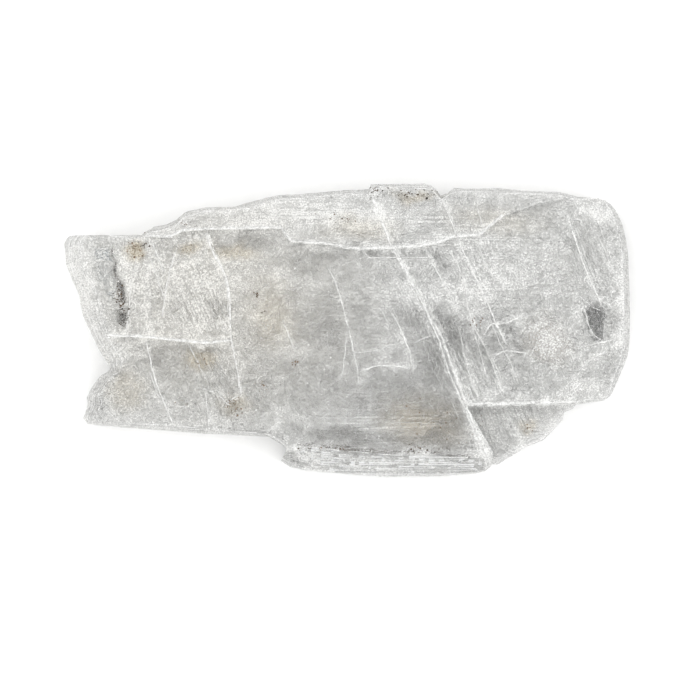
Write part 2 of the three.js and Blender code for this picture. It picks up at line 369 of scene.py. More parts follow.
tones = {
    "warp": 1.4 * mm,  # wander of the patches' outlines
    "warpSpan": (4.5 * mm, 1.6 * mm),
    "hazeSpan": (0.5 * mm, 2.0 * mm),  # fall of the bright haze beside a crack
    "hazePatch": 1.2 * mm,
    "hazeStep": 0.3 * mm,
    # [x, y, half length, half width, turn, strength]
    "clouds": [
        [20.0, 6.6, 13.0, 4.0, -4, 0.16],
        [48.0, -12.0, 5.0, 2.6, 0, 0.22],
        [51.0, 23.6, 5.5, 3.0, -14, 0.36],
        [55.6, 5.0, 1.9, 17.0, 0, 0.40],
        [-53.4, 9.0, 4.4, 11.0, 14, 0.42],
        [-47.0, -4.4, 5.0, 2.8, 0, 0.30],
        [-40.0, 6.0, 1.6, 11.0, 0, 0.26],
        [-30.0, 8.0, 8.0, 7.0, 0, 0.16],
        [34.0, 14.0, 14.0, 9.0, 0, 0.14],
        [-12.0, 24.0, 20.0, 4.0, 4, 0.20],
        [8.0, -27.0, 22.0, 2.9, -1, 0.28],
        [38.0, -19.0, 9.0, 4.5, 25, 0.10],
        [28.0, -10.0, 5.0, 5.0, 0, 0.10],
        [-34.0, -21.0, 20.0, 1.6, -3, 0.24],
        [5.0, 22.6, 18.0, 4.0, 0, 0.16],
        [-31.0, 0.4, 9.0, 2.4, 0, 0.14],
        [-13.0, 10.0, 4.0, 3.0, 20, 0.16],
        [-25.0, 12.0, 16.0, 6.0, 0, 0.16],
        [-44.0, 11.0, 5.0, 8.0, 10, 0.22],
        [31.0, 9.6, 7.0, 4.0, 0, 0.16],
        [40.0, -2.0, 5.0, 5.0, 0, 0.20],
        [-8.0, 22.0, 22.0, 4.0, 0, 0.12],
        [-14.0, -20.0, 2.0, 4.0, 0, 0.24],
        [28.0, -19.0, 4.0, 4.0, 0, 0.18],
        [-45.4, 10.6, 1.4, 6.6, 12, -0.40],
        [-44.5, 2.6, 1.8, 2.6, 0, -0.30],
        [49.8, 1.8, 2.4, 4.4, 12, -0.50],
        [20.8, 0.0, 4.0, 5.0, 20, -0.20],
        [32.6, 0.0, 2.2, 3.4, 20, -0.20],
        [10.0, -21.6, 21.0, 2.2, -4, -0.26],
        [21.0, -18.6, 6.0, 6.0, 0, -0.22],
        [30.0, -2.6, 6.0, 5.0, 0, -0.16],
        [2.0, -1.0, 8.0, 7.0, 0, -0.12],
        [13.0, -13.0, 17.0, 8.0, -12, -0.24],
        [22.0, -4.0, 13.0, 7.0, -20, -0.20],
        [-6.0, -10.0, 11.0, 9.0, 20, -0.16],
        [-19.0, -14.0, 6.0, 7.0, 0, -0.14],
        [-38.0, -6.0, 4.0, 3.6, 0, -0.20],
        [2.0, -21.4, 18.0, 2.6, -3, -0.24],
        [-6.0, 6.0, 10.0, 12.0, 23, -0.20],
        [-30.0, -9.5, 15.0, 6.5, 0, -0.10],
        # painted shade: a dark band under the ridge's lower edge, and the next row is painted shade under
        # the plate edge
        [5.0, 14.8, 20.0, 1.5, 2, -0.22],
        [-31.0, -3.6, 8.0, 1.1, 2, -0.28],
        [46.4, 16.0, 3.0, 6.0, 20, -0.20],
        # painted shade: a dark band under the left part of the ridge edge
        [-20.0, 17.4, 9.0, 2.2, 0, -0.22],
        [-34.0, 16.0, 4.0, 2.0, 0, -0.10],
        [18.0, -1.0, 9.0, 6.0, -30, -0.10],
        [36.0, -6.0, 5.0, 6.0, 0, -0.10],
        [11.0, -20.5, 9.0, 3.0, 0, 0.14],
        [-9.0, 6.0, 8.0, 6.0, 0, 0.10],
        [20.0, -27.0, 7.0, 3.0, 0, -0.16],
        [-2.0, -27.0, 8.0, 3.0, 0, -0.08],
        [-6.0, 9.0, 4.0, 3.5, 0, 0.16],
        [-18.0, 3.0, 4.0, 3.5, 0, 0.16],
        [12.0, 3.0, 9.0, 3.5, 0, -0.12],
        [18.0, -7.0, 4.0, 6.0, 20, -0.20],
        [36.0, -3.0, 3.5, 3.0, 0, -0.12],
        [5.0, -20.5, 5.0, 3.0, 0, 0.12],
        [53.0, -9.0, 3.0, 3.0, 0, -0.20],
        [-24.0, -15.0, 3.0, 3.0, 0, -0.14],
        [24.0, -3.0, 3.0, 3.0, 0, 0.12],
        [46.5, 3.0, 1.8, 3.0, 0, 0.15],
        [-6.0, 21.0, 3.5, 3.0, 0, -0.12],
        [-9.0, -3.0, 6.0, 3.0, 0, 0.10],
    ],
    "stains": [
        [-26.0, 4.0, 34.0, 26.0, 0, 0.22],
        [15.0, -18.0, 10.0, 6.0, -8, 0.60],
        [3.0, 20.5, 9.0, 3.4, 0, 0.35],
        [-31.5, 16.2, 3.0, 1.8, 0, 0.60],
        [-22.0, 15.6, 6.0, 2.4, -10, 0.55],
        [-29.0, -6.0, 4.0, 3.0, 0, 0.60],
        [-42.0, 15.8, 2.2, 2.0, 0, 0.90],
        [-22.0, -15.0, 4.0, 2.8, 0, 0.55],
        [14.0, 27.0, 5.5, 1.4, 0, 0.60],
        [36.6, -19.6, 2.4, 2.0, 0, 0.60],
        [-15.0, 3.0, 6.0, 8.0, 0, 0.30],
        [-44.0, -12.0, 5.0, 5.0, 0, 0.35],
        [30.0, 22.0, 12.0, 3.4, 0, 0.25],
    ],
    "combed": [
        [-29.0, 5.0, 7.0, 8.0, 0, 1.0],
        [-26.0, -10.0, 8.0, 8.0, 0, 0.5],
        [24.0, -8.0, 7.0, 15.0, 22, 1.0],
        [26.0, 14.0, 8.0, 12.0, 22, 0.5],
        [50.0, 13.0, 6.0, 10.0, 18, 0.6],
        [13.0, 2.0, 8.0, 10.0, 22, 0.5],
        [34.0, -18.0, 7.0, 5.0, 0, 0.7],
    ],
    "level": [
        [8.0, -26.6, 23.0, 3.6, -1, 1.3],
        [10.0, -18.5, 19.0, 7.0, -2, 1.0],
        [34.0, -18.0, 10.0, 6.0, 0, 0.6],
        [24.0, 20.0, 24.0, 7.0, 0, 0.7],
        [30.0, 6.0, 14.0, 8.0, 0, 0.5],
        [-8.0, 24.0, 14.0, 3.6, 4, 0.7],
        [0.0, 4.0, 16.0, 10.0, 0, 0.3],
        [-33.0, -20.0, 18.0, 3.0, -3, 0.5],
    ],
}


def warped(x, y):
    at = Vector((x, y, 0))
    broad, narrow = tones["warpSpan"]
    push = noise.noise_vector(at / broad) + 0.5 * noise.noise_vector(at / narrow)
    return x + push.x * tones["warp"], y + push.y * tones["warp"]


def spotSum(spots, points):
    total = np.zeros(len(points))
    for x, y, length, width, turn, strength in spots:
        cos, sin = math.cos(math.radians(turn)), math.sin(math.radians(turn))
        away = points - (x * mm, y * mm)
        along = (away[:, 0] * cos + away[:, 1] * sin) / (length * mm)
        across = (away[:, 1] * cos - away[:, 0] * sin) / (width * mm)
        total += strength * np.clip((1.15 - np.hypot(along, across)) / 0.8, 0, 1) ** 1.3
    return total


def alongCracks(step):
    for line, depth, lean, whiteness in cracks["lines"].values():
        for start, end in zip(line, line[1:]):
            start, end = Vector(start) * mm, Vector(end) * mm
            count = max(1, round((end - start).length / step))
            for i in range(count):
                yield start.lerp(end, (i + 0.5) / count), (end - start).normalized(), whiteness


def crackTree():
    found = [*alongCracks(tones["hazeStep"])]
    tree = KDTree(len(found))
    for i, (at, way, whiteness) in enumerate(found):
        tree.insert(at.to_3d(), i)
    tree.balance()
    return tree, [whiteness for at, way, whiteness in found]


def hazeAt(x, y):
    tree, whites = nearCracks
    close, wide = tones["hazeSpan"]
    total = 0.0
    for at, i, far in tree.find_n((x, y, 0), 3):
        fall = 0.5 * math.exp(-far / close) + 0.25 * math.exp(-far / wide)
        total = max(total, whites[i] * fall)
    return total * (0.65 + 0.7 * noise.noise(Vector((x, y, 5)) / tones["hazePatch"]))


def paintTones(bm):
    points = np.array([warped(v.co.x, v.co.y) for v in bm.verts])
    sums = {name: spotSum(tones[name], points) for name in ("clouds", "stains", "combed", "level")}
    sums["haze"] = [hazeAt(v.co.x, v.co.y) for v in bm.verts]
    for name, values in sums.items():
        layer = bm.verts.layers.float.new(name)
        for v, value in zip(bm.verts, values):
            v[layer] = value


def attribute(wire, name):
    return wire.node("ShaderNodeAttribute", {"attribute_name": name}, out="Fac")


# The crystal's own surface

shell = {
    "cell": 0.5 * mm,  # spacing of the fine mesh
    "underCell": 2.0 * mm,  # and of the face it rests on
    "slab": 12.0 * mm,  # width cut at a time
    "overhang": 0.1 * mm,  # of the first slab, past the end
    "ragged": 0.06 * mm,  # wander of the sheets' edges
    "raggedSpan": (1.1 * mm, 0.45 * mm),
    "swell": 0.03 * mm,  # slow relief of the cleavage faces
    "swellSpan": 9.0 * mm,
    "restsBelow": 0.2 * mm,  # the foot keeps its flat face
    "weld": 0.0005 * mm,
    "onCut": 0.001 * mm,
    "sharpAngle": 24,
    "ior": 1.52,
    "absorbColour": (0.72, 0.72, 0.68, 1),
    "absorbDensity": 9.0,
    "frostColour": (0.72, 0.72, 0.705, 1),
    # edgeColour whitens the convex sharp edges: partly bruised crystal, partly a painted highlight of the
    # lit edge
    "edgeColour": (0.84, 0.84, 0.83, 1),
    "stainColour": (0.62, 0.57, 0.47, 1),
    # scales of the patterns, and how far a striation is drawn out
    "grainScale": 3600,
    "patchScale": 500,
    "lineScale": 2600,
    "combedStretch": (1, 24, 1),
    "levelStretch": (30, 1, 1),
    "layerStretch": (14, 14, 1),
    # shares of the white bloom on the faces
    "bloomBase": 0.31,
    "bloomGrain": 2.3,
    "bloomPatches": 1.0,
    "bloomStreaks": 1.5,
    "bloomHaze": 0.8,
    "bloomLeast": 0.03,
    "bloomMost": 0.88,
}


def bladeCopy():
    bm = bmesh.new()
    bm.from_mesh(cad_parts["selenite_blade"].data)
    bmesh.ops.remove_doubles(bm, verts=bm.verts, dist=shell["weld"])
    return bm


def cutIntoCells(bm, faces, axis, cuts):
    if not cuts or not faces:
        return
    middle = len(cuts) // 2
    direction = Vector((0, 0, 0))
    direction[axis] = 1
    verts = dict.fromkeys(v for f in faces for v in f.verts)
    edges = dict.fromkeys(e for f in faces for e in f.edges)
    cut = bmesh.ops.bisect_plane(
        bm,
        geom=[*verts, *edges, *faces],
        dist=shell["onCut"],
        plane_co=direction * cuts[middle],
        plane_no=direction,
    )
    for part in cut["geom_cut"]:
        if isinstance(part, bmesh.types.BMEdge):
            part.seam = True
    sides = ([], [])
    for part in cut["geom"]:
        if isinstance(part, bmesh.types.BMFace):
            sides[part.calc_center_median()[axis] > cuts[middle]].append(part)
    cutIntoCells(bm, sides[0], axis, cuts[:middle])
    cutIntoCells(bm, sides[1], axis, cuts[middle + 1:])


def slabOf(start, end):
    s = shell
    low, high = cadBox
    bm = bladeCopy()
    for at, way in ((start, -1), (end, 1)):
        geom = bm.verts[:] + bm.edges[:] + bm.faces[:]
        bmesh.ops.bisect_plane(
            bm, geom=geom, dist=s["onCut"], plane_co=(at, 0, 0), plane_no=(way, 0, 0), clear_outer=True
        )
    for axis, first, last in ((0, start, end), (1, low[1], high[1])):
        for cell, under in ((s["cell"], False), (s["underCell"], True)):
            cuts = [first + (i + 1) * cell for i in range(round((last - first) / cell) - 1)]
            cutIntoCells(bm, [f for f in bm.faces if (f.normal.z < -0.9) == under], axis, cuts)
    bmesh.ops.dissolve_limit(
        bm, angle_limit=math.radians(0.5), verts=bm.verts, edges=bm.edges, delimit={"SEAM"}
    )
    return bm


def shapeShell():
    s = shell
    low, high = cadBox
    bm = bmesh.new()
    start = low[0] - s["overhang"]
    while start < high[0]:
        joinInto(bm, slabOf(start, start + s["slab"]))
        start += s["slab"]
    bmesh.ops.remove_doubles(bm, verts=bm.verts, dist=shell["weld"])
    bmesh.ops.triangulate(bm, faces=[f for f in bm.faces if len(f.verts) > 4])
    for edge in bm.edges:
        edge.seam = False
    broad, narrow = s["raggedSpan"]
    for v in bm.verts:
        wander = noise.noise_vector(Vector((v.co.x, v.co.y, v.co.z * 0.35)) / broad)
        wander += 0.5 * noise.noise_vector(v.co / narrow)
        slow = noise.noise(Vector((v.co.x, v.co.y, 0)) / s["swellSpan"])
        if v.co.z > s["restsBelow"]:
            v.co += Vector((wander.x, wander.y, 0)) * s["ragged"]
            v.co.z += slow * s["swell"]
    return bm


def crystalMaterial():
    s = shell
    material, wire = newMaterial("clear selenite")
    grain = speckle(wire, place(wire), s["grainScale"], 2, 0.7)
    patches = speckle(wire, place(wire), s["patchScale"], 4, 0.6)
    combed = speckle(wire, place(wire, oblique, s["combedStretch"]), s["lineScale"], 2, 0.6)
    level = speckle(wire, place(wire, 0, s["levelStretch"]), s["lineScale"], 2, 0.6)
    layers = speckle(wire, place(wire, 2.0, s["layerStretch"]), s["lineScale"], 2)
    facing = wire.node("ShaderNodeNewGeometry", out="Normal")
    upright = wire.node("ShaderNodeSeparateXYZ", {}, {"Vector": facing}, out="Z")
    side = 1 - (upright * upright).between(0.2, 0.7)
    # convex edges are frosted whiter: partly bruising, partly a painted highlight in place of the light a
    # bevel would catch
    bruise = attribute(wire, "bruise") ** 1.6
    edge = bruise * grain.between(0.3, 0.6, 0.55, 1.0) * (1 - side * 0.65)
    wall = side * layers.between(0.36, 0.66, 0.15, 0.6)
    streaks = (combed - 0.5) * attribute(wire, "combed") + (level - 0.5) * attribute(wire, "level")
    # these tones hold painted shade under the step edges as well as the cloudy tone of the crystal
    light = attribute(wire, "clouds") + attribute(wire, "haze") * s["bloomHaze"]
    texture = (grain - 0.5) * s["bloomGrain"] + (patches - 0.5) * s["bloomPatches"]
    texture += streaks * s["bloomStreaks"]
    bloom = (s["bloomBase"] + texture + light).most(s["bloomLeast"]).least(s["bloomMost"])
    frost = edge.most(wall).most(bloom).clipped()
    frosted = mixColour(wire, attribute(wire, "stains").clipped(), s["frostColour"], s["stainColour"])
    shade = mixColour(wire, edge.clipped(), frosted, s["edgeColour"])
    rough = (grain * 0.06 + side * 0.15).clipped()
    height = combed * 0.3 + level * 0.3 + layers * side
    bump = wire.node("ShaderNodeBump", {}, {"Strength": 0.3, "Distance": 0.00005, "Height": height})
    clear = wire.node(
        "ShaderNodeBsdfPrincipled",
        {},
        {
            "Base Color": (1, 1, 1, 1),
            "Roughness": rough,
            "IOR": s["ior"],
            "Transmission Weight": 1.0,
            "Normal": bump,
        },
    )
    white = wire.node(
        "ShaderNodeBsdfPrincipled",
        {},
        {"Base Color": shade, "Roughness": 0.5, "IOR": s["ior"], "Normal": bump},
    )
    surface = wire.node("ShaderNodeMixShader", {}, {"Fac": frost, 1: clear, 2: white})
    inside = wire.node(
        "ShaderNodeVolumeAbsorption", {}, {"Color": s["absorbColour"], "Density": s["absorbDensity"]}
    )
    wire.node("ShaderNodeOutputMaterial", {}, {"Surface": surface, "Volume": inside})
    return material


def makeShell():
    bm = shapeShell()
    limit = math.radians(shell["sharpAngle"])
    bruise = bm.verts.layers.float.new("bruise")
    for face in bm.faces:
        face.smooth = True
    for edge in bm.edges:
        # convex sharp edges are marked for the whiter edge frost: partly bruising, partly a painted
        # highlight
        edge.smooth = edge.calc_face_angle(0) < limit
        if edge.calc_face_angle_signed(0) > limit:
            for v in edge.verts:
                v[bruise] = 1.0
    paintTones(bm)
    piece = finishPiece(bm, "selenite_surface", crystalMaterial())
    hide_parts("selenite_blade")
    return piece


# What is sealed in the crystal hangs under the broad face, so the face is found by a look straight down

def treeOf(piece):
    bm = bmesh.new()
    bm.from_mesh(piece.data)
    tree = BVHTree.FromBMesh(bm)
    bm.free()
    return tree


def topAt(x, y):
    hit = bladeTree.ray_cast(Vector((x, y, 1)), Vector((0, 0, -1)))
    return hit[0].z if hit[0] else None


def bottomAt(x, y):
    hit = bladeTree.ray_cast(Vector((x, y, -1)), Vector((0, 0, 1)))
    return hit[0].z if hit[0] else None


def wallTree(piece):
    low, high = veil["wallHeights"]
    walls = [f for f in piece.data.polygons if abs(f.normal.z) < 0.5 and low < f.center.z < high]
    tree = KDTree(len(walls))
    for i, f in enumerate(walls):
        tree.insert((f.center.x, f.center.y, 0), i)
    tree.balance()
    return tree


def roomAt(point):
    above = topAt(point.x, point.y) - point.z
    below = point.z - bottomAt(point.x, point.y)
    return min(above, below, nearWalls.find((point.x, point.y, 0))[2])


# Veils: two broad sheets under the faces; their pale patches are milky cleavage partings, and their grey is
# painted shade for the light the clear body loses

veil = {
    "cell": 0.8 * mm,
    "margin": 0.3 * mm,
    "fade": 1.6 * mm,
    "sway": 0.2,
    "swaySpan": 7.0 * mm,
    "fineScale": 1800,
    "wallHeights": (2.0 * mm, 9.5 * mm),  # a veil fades out beside walls at these heights
    "darkest": (0.06, 0.06, 0.06, 1),
    "middling": (0.50, 0.50, 0.48, 1),
    "lightest": (0.98, 0.98, 0.96, 1),
    "tan": (0.80, 0.68, 0.48, 1),
    # name: depth, cover, lightness
    "sheets": {
        "upper_veil_and_shade": (0.5 * mm, 0.58, 0.84),
        "lower_veil_and_shade": (4.5 * mm, 0.5, 0.89),
    },
}


def veilMaterial(name, cover, lightness):
    s = veil
    material, wire = newMaterial(name)
    fine = speckle(wire, place(wire), s["fineScale"], 3, 0.7)
    # the veil's grey is painted shade, and the tone attribute adds more painted shade under the step edges
    tone = lightness + (fine - 0.5) * 0.5 + attribute(wire, "clouds") * 0.8 + attribute(wire, "haze") * 0.3
    stops = [(0.0, s["darkest"]), (0.5, s["middling"]), (1.0, s["lightest"])]
    colour = wire.node("ShaderNodeValToRGB", {"stops": stops}, {"Fac": tone.clipped()})
    stain = attribute(wire, "stains").clipped()
    tan = wire.node(
        "ShaderNodeMix",
        {"data_type": "RGBA", "blend_type": "MULTIPLY"},
        {0: stain, 6: colour, 7: s["tan"]},
        out=2,
    )
    alpha = attribute(wire, "room") * fine.between(0.3, 0.7, cover * 0.7, cover)
    surface = wire.node(
        "ShaderNodeBsdfPrincipled", {}, {"Base Color": tan, "Roughness": 0.55, "Alpha": alpha.clipped()}
    )
    wire.node("ShaderNodeOutputMaterial", {}, {"Surface": surface})
    return material


def makeVeil(name, depth, material):
    s = veil
    low, high = cadBox
    middle = (Vector(low) + Vector(high)) / 2
    half = (Vector(high) - Vector(low)) / 2
    bm = bmesh.new()
    bmesh.ops.create_grid(
        bm,
        x_segments=round(2 * half.x / s["cell"]),
        y_segments=round(2 * half.y / s["cell"]),
        size=1,
        matrix=Matrix.Translation((middle.x, middle.y, 0)) @ Matrix.Diagonal((half.x, half.y, 1, 1)),
    )
    room = bm.verts.layers.float.new("room")
    lost = []
    for v in bm.verts:
        top = topAt(v.co.x, v.co.y)
        if top is None:
            lost.append(v)
            continue
        sway = noise.noise(Vector((v.co.x, v.co.y, depth)) / s["swaySpan"])
        v.co.z = top - depth * (1 + s["sway"] * sway)
        inside = v.co.z > bottomAt(v.co.x, v.co.y) + s["margin"]
        free = roomAt(v.co)
        if not inside or free < s["margin"]:
            lost.append(v)
        v[room] = min(1.0, max(0.0, (free - s["margin"]) / min(s["fade"], depth - s["margin"] * 1.01)))
    bmesh.ops.delete(bm, geom=lost, context="VERTS")
    steep = [f for f in bm.faces if abs(f.normal.z) < 0.8]
    bmesh.ops.delete(bm, geom=steep, context="FACES")
    paintTones(bm)
    for f in bm.faces:
        f.smooth = True
    return finishPiece(bm, name, material)


# Pockets: films of clay, smoke and milk with listed outlines, just under the face

pockets = {
    "cell": 0.4 * mm,
    "margin": 0.08 * mm,
    "fineScale": 1600,
    "dust": (0.7, 0.68, 0.64, 1),
    # name: outline in millimetres, depth, soft rim, cover, colour
    "films": {
        "slot": ([(-46.8, 16.6), (-46.2, 16.6), (-45.4, 12.0), (-44.4, 8.0), (-43.8, 6.0), (-44.4, 5.0),
            (-45.4, 5.4), (-45.6, 8.0), (-46.2, 12.0)], 0.25, 0.4, 0.85, (0.05, 0.037, 0.027)),
        "slotFoot": ([(-45.6, 4.6), (-43.4, 4.4), (-43.0, 2.4), (-44.0, 0.6), (-45.4, 1.6)],
            0.35, 1.0, 0.5, (0.09, 0.09, 0.085)),
        "blueWindow": ([(-50.4, 15.6), (-47.0, 16.0), (-45.8, 8.0), (-46.8, 6.0), (-49.4, 9.0)],
            0.5, 1.0, 0.45, (0.42, 0.50, 0.56)),
        "endWindow": ([(47.2, 6.4), (49.6, 4.8), (51.9, 3.4), (51.8, -1.0), (51.2, -2.8), (49.2, -1.6),
            (48.4, 1.0)], 0.3, 1.0, 0.5, (0.06, 0.065, 0.07)),
        "leftBand": ([(-40.4, 15.2), (-38.8, 14.8), (-38.8, -1.4), (-40.2, -1.4)],
            0.2, 0.8, 0.5, (0.92, 0.92, 0.91)),
        "smear": ([(-49.2, -3.0), (-45.0, -2.6), (-44.2, -5.0), (-47.0, -6.6)],
            0.2, 1.2, 0.5, (0.92, 0.92, 0.91)),
        "corner": ([(48.4, 25.6), (53.0, 25.0), (54.4, 22.0), (50.0, 22.6)],
            0.2, 1.0, 0.55, (0.88, 0.90, 0.92)),
        "bevel": ([(54.6, 22.0), (56.0, 20.0), (56.2, -6.0), (54.8, -8.0), (54.8, 10.0)],
            0.2, 0.6, 0.5, (0.92, 0.93, 0.93)),
        "greatBand": ([(9.4, 16.4), (10.2, 16.4), (14.6, 6.8), (19.4, -1.0), (22.4, -9.2), (24.8, -16.2),
            (29.2, -26.8), (28.2, -26.8), (23.6, -15.4), (20.6, -8.6), (18.0, -0.6), (13.0, 9.6)],
            0.15, 0.35, 0.5, (0.92, 0.92, 0.91)),
        "frontPale": ([(-10.0, -23.9), (-1.2, -23.9), (18.8, -25.3), (27.6, -26.4), (26.4, -28.6),
            (18.8, -29.4), (-3.2, -29.0), (-5.6, -27.6)], 0.12, 0.4, 0.65, (0.86, 0.87, 0.88)),
        # a dark brown-grey line along the top of the front strip
        "frontDarkLine": ([(-9.6, -22.9), (-1.2, -22.9), (10.8, -23.9), (24.8, -25.1), (27.2, -25.8),
            (24.8, -25.8), (10.8, -24.7), (-1.2, -23.8), (-9.6, -23.6)],
            0.12, 0.35, 0.75, (0.10, 0.085, 0.065)),
        "frontFacet": ([(-13.0, -26.6), (-11.6, -24.0), (-10.0, -25.0), (-7.6, -28.0)],
            0.12, 0.6, 0.45, (0.25, 0.25, 0.25)),
        "greatWindow": ([(16.4, 5.0), (23.2, 3.6), (24.8, -3.0), (21.8, -5.0), (18.0, 0.0)],
            0.6, 1.3, 0.5, (0.12, 0.12, 0.115)),
        "blockWindow": ([(30.6, 2.6), (34.6, 2.0), (34.8, -3.0), (31.8, -3.2)],
            0.6, 1.0, 0.4, (0.12, 0.12, 0.11)),
        "cream": ([(35.8, 2.0), (40.4, 3.2), (42.8, 1.0), (45.8, -4.0), (42.8, -7.2), (37.8, -6.0),
            (35.2, -2.0)], 0.4, 2.6, 0.35, (0.93, 0.86, 0.77)),
        "milk": ([(6.8, 9.0), (16.8, 10.6), (30.8, 9.4), (31.8, 6.0), (24.8, 2.4), (10.8, 4.4)],
            0.5, 1.8, 0.5, (0.95, 0.95, 0.94)),
    },
}


def pocketMaterial():
    material, wire = newMaterial("pocket film")
    fine = speckle(wire, place(wire), pockets["fineScale"], 4, 0.7)
    colour = wire.node("ShaderNodeAttribute", {"attribute_name": "tint"}, out="Color")
    shade = mixColour(wire, fine.between(0.4, 0.75, 0.0, 0.35), colour, pockets["dust"])
    alpha = attribute(wire, "cover") * fine.between(0.25, 0.55, 0.65, 1.0)
    surface = wire.node(
        "ShaderNodeBsdfPrincipled", {}, {"Base Color": shade, "Roughness": 0.6, "Alpha": alpha.clipped()}
    )
    wire.node("ShaderNodeOutputMaterial", {}, {"Surface": surface})
    return material


def rimDistance(x, y, outline):
    inside = False
    near = 1.0
    for (x1, y1), (x2, y2) in zip(outline, outline[1:] + outline[:1]):
        if (y1 > y) != (y2 > y) and x < x1 + (x2 - x1) * (y - y1) / (y2 - y1):
            inside = not inside
        at, share = geometry.intersect_point_line((x, y), (x1, y1), (x2, y2))
        foot = Vector((x1, y1)).lerp(Vector((x2, y2)), min(1.0, max(0.0, share)))
        near = min(near, (Vector((x, y)) - foot).length)
    return near if inside else -near


def pocketFilm(outline, depth, soft, cover, colour):
    s = pockets
    outline = [(x * mm, y * mm) for x, y in outline]
    middle = sum((Vector(at) for at in outline), Vector((0, 0))) / len(outline)
    reach = max((Vector(at) - middle).length for at in outline) + soft * mm
    bm = bmesh.new()
    tint = bm.verts.layers.float_color.new("tint")
    covering = bm.verts.layers.float.new("cover")
    cells = round(2 * reach / s["cell"])
    bmesh.ops.create_grid(
        bm, x_segments=cells, y_segments=cells, size=reach, matrix=Matrix.Translation((*middle, 0))
    )
    lost = []
    for v in bm.verts:
        x, y = warped(v.co.x, v.co.y)
        far = rimDistance((v.co.x + x) / 2, (v.co.y + y) / 2, outline)
        top = topAt(v.co.x, v.co.y)
        share = min(1.0, max(0.0, far / (soft * mm) + 0.5))
        if top is None or share == 0.0:
            lost.append(v)
            continue
        v.co.z = top - depth * mm
        v[tint] = (*colour, 1)
        v[covering] = cover * share
        if roomAt(v.co) < s["margin"]:
            lost.append(v)
    bmesh.ops.delete(bm, geom=lost, context="VERTS")
    for f in bm.faces:
        f.smooth = True
    return bm


def makePockets():
    bm = bmesh.new()
    bm.verts.layers.float_color.new("tint")
    bm.verts.layers.float.new("cover")
    for film in pockets["films"].values():
        joinInto(bm, pocketFilm(*film))
    return finishPiece(bm, "pocket_films", pocketMaterial())


# Cracks: a bruised white lip on the face and a thin sheet that leans as it goes down; along the terrace
# edges the white lip is a painted highlight of the lit step

def crackMaterial():
    material, wire = newMaterial("crack white")
    rim = attribute(wire, "rim")
    broken = speckle(wire, place(wire), cracks["breakScale"], 4, 0.7)
    alpha = rim * broken.between(0.32, 0.60, 0.5, 1.0)
    shade = mixColour(wire, broken, cracks["paleWhite"], cracks["brightWhite"])
    surface = wire.node(
        "ShaderNodeBsdfPrincipled", {}, {"Base Color": shade, "Roughness": 0.4, "Alpha": alpha.clipped()}
    )
    wire.node("ShaderNodeOutputMaterial", {}, {"Surface": surface})
    return material


def fadeAlong(at, line):
    s = cracks
    ends = [math.hypot(at.x - x * mm, at.y - y * mm) for x, y in (line[0], line[-1])]
    slow = 0.95 + 0.55 * noise.noise(Vector((at.x, at.y, 9)) / s["fadeSpan"])
    return slow * (0.35 + 0.65 * min(1.0, min(ends) / s["fadeEnd"]))


def crackSheet(line, depth, lean, whiteness):
    s = cracks
    bm = bmesh.new()
    rim = bm.verts.layers.float.new("rim")
    verts = [bm.verts.new((x * mm, y * mm, 0)) for x, y in line]
    for pair in zip(verts, verts[1:]):
        bm.edges.new(pair)
    while long := [e for e in bm.edges if e.calc_length() > s["step"]]:
        bmesh.ops.subdivide_edges(bm, edges=long, cuts=1)
    for v in bm.verts:
        slow, quick = (noise.noise(v.co / span) for span in s["wanderSpan"])
        v.co += s["wander"] * Vector((slow, quick, 0))
        v[rim] = min(1.0, s["strength"] * whiteness * fadeAlong(v.co, line))
    row = bm.edges[:]
    onward = Vector((*line[-1], 0)) - Vector((*line[0], 0))
    lip = s["lip"] * (0.4 + 0.6 * whiteness)
    firstRow = bm.verts[:]
    for v in firstRow:
        v.co.z = (topAt(v.co.x, v.co.y) or 0) + s["proud"]
    for sideways, drop, white in s["rows"]:
        grown = bmesh.ops.extrude_edge_only(bm, edges=row)["geom"]
        fresh = [v for v in grown if isinstance(v, bmesh.types.BMVert)]
        row = [e for e in grown if isinstance(e, bmesh.types.BMEdge) and set(fresh).issuperset(e.verts)]
        for v in fresh:
            ragged = 1 + 0.7 * noise.noise(v.co / s["raggedSpan"])
            run = Vector((0, 0, 0))
            for e in v.link_edges:
                if e in row:
                    way = e.other_vert(v).co - v.co
                    run += way if way.dot(onward) > 0 else -way
            side = Vector((run.y, -run.x, 0)).normalized()
            v.co += side * lip * sideways * ragged + Vector((lean, 0, -depth)) * mm * drop * ragged
            if drop == 0.0 and sideways == 1.0:
                v.co.z = (topAt(v.co.x, v.co.y) or 0) + s["proud"]
            v[rim] = min(1.0, s["strength"] * whiteness * white * fadeAlong(v.co, line))
    return bm


def dropOutside(bm, margin):
    outside = []
    for v in bm.verts:
        low = bottomAt(v.co.x, v.co.y)
        if low is None or not low + margin < v.co.z < topAt(v.co.x, v.co.y) + margin:
            outside.append(v)
    bmesh.ops.delete(bm, geom=outside, context="VERTS")


def makeCracks():
    bm = bmesh.new()
    bm.verts.layers.float.new("rim")
    for line, depth, lean, whiteness in cracks["lines"].values():
        joinInto(bm, crackSheet(line, depth, lean, whiteness))
    dropOutside(bm, cracks["outside"])
    for f in bm.faces:
        f.smooth = True
    return finishPiece(bm, "crack_sheets", crackMaterial())


# Hairlines: fine needle-shaped scratches and hollows along the cleavages, and splinters beside the cracks

